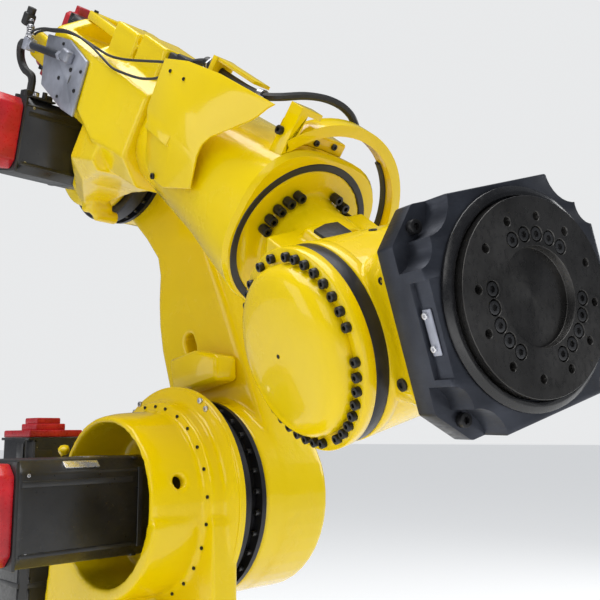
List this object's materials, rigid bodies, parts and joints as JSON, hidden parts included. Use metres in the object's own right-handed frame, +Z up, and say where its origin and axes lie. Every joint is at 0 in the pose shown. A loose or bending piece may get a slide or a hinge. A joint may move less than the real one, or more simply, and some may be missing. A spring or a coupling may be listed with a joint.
{
  "type": "industrial robot arm",
  "caption": "Heavy articulated industrial robot arm on a floor base, with a leaning lower arm, a hose hoop over the forearm and an in-line wrist ending in a bolted tool flange.",
  "frame": {"origin": "on the turning axis, at the underside of the base", "axes": "+X towards the arm's forward side, +Y towards the side of the lower arm, +Z up"},
  "size_m": [1.7943, 0.8, 2.1628],
  "materials": {
    "cast_paint": "gloss strong yellow enamel on castings",
    "sheet_paint": "gloss strong yellow enamel on sheet and brackets",
    "motor_black": "satin black enamel",
    "motor_red": "gloss red cap",
    "reducer_steel": "dark oiled steel",
    "block_steel": "dark machined steel",
    "flange_steel": "dark machined steel, turned face",
    "alloy": "plain milled plate",
    "hose_rubber": "matt black"
  },
  "bodies": {
    "base": {"base_casting": "cast_paint", "base_connector_panel": "alloy", "turn_reducer": "reducer_steel"},
    "turntable": {"turntable_casting": "cast_paint", "shoulder_motor": "motor_black", "shoulder_motor_cap": "motor_red", "turn_motor": "motor_black", "turn_motor_cap": "motor_red", "shoulder_reducer": "reducer_steel"},
    "lower_arm": {"lower_arm": "cast_paint", "arm_stop_block": "cast_paint"},
    "forearm": {"elbow_casting": "cast_paint", "elbow_reducer": "reducer_steel", "elbow_motor": "motor_black", "elbow_motor_cap": "motor_red", "elbow_side_plate": "alloy", "forearm_casting": "cast_paint", "forearm_cover": "sheet_paint", "hose_hoop": "sheet_paint", "front_hose_bracket": "sheet_paint", "rear_hose_bracket": "sheet_paint", "elbow_rail_frame": "sheet_paint", "wrist_motor_1": "motor_black", "wrist_motor_1_cap": "motor_red", "wrist_motor_2": "motor_black", "wrist_motor_2_cap": "motor_red", "wrist_motor_3": "motor_black", "wrist_motor_3_cap": "motor_red", "top_hose": "hose_rubber", "elbow_pipe": "block_steel", "elbow_pipe_fitting": "alloy", "elbow_hose_gland": "motor_black", "elbow_hose": "hose_rubber", "elbow_cable_1": "hose_rubber", "elbow_cable_2": "hose_rubber"},
    "wrist_neck": {"wrist_neck": "cast_paint", "bend_cover": "cast_paint"},
    "wrist_head": {"bend_reducer_band": "reducer_steel", "wrist_head": "cast_paint", "tool_block": "block_steel", "block_plate": "alloy", "block_seal": "reducer_steel"},
    "tool_flange": {"tool_flange": "flange_steel"}
  },
  "joints": [
    {"name": "turn", "type": "hinge", "parent": "base", "child": "turntable", "pos_m": [0, 0, 0.336], "axis": [0, 0, 1], "range_deg": [-180, 180]},
    {"name": "shoulder", "type": "hinge", "parent": "turntable", "child": "lower_arm", "pos_m": [0.37, 0, 0.94], "axis": [0, 1, 0], "range_deg": [-36, 70]},
    {"name": "elbow", "type": "hinge", "parent": "lower_arm", "child": "forearm", "pos_m": [-0.03817, 0, 1.87204], "axis": [0, -1, 0], "range_deg": [-8, 150]},
    {"name": "forearm_roll", "type": "hinge", "parent": "forearm", "child": "wrist_neck", "pos_m": [1.06078, 0, 1.2437], "axis": [0.7788, 0, -0.6273], "range_deg": [-382, 337]},
    {"name": "wrist_bend", "type": "hinge", "parent": "wrist_neck", "child": "wrist_head", "pos_m": [1.06078, 0, 1.2437], "axis": [-0.2392, -0.9244, -0.297], "range_deg": [-149, 70]},
    {"name": "tool_roll", "type": "hinge", "parent": "wrist_head", "child": "tool_flange", "pos_m": [1.33345, -0.06836, 1.23683], "axis": [0.9697, -0.2431, -0.0244], "range_deg": [-360, 360]}
  ]
}
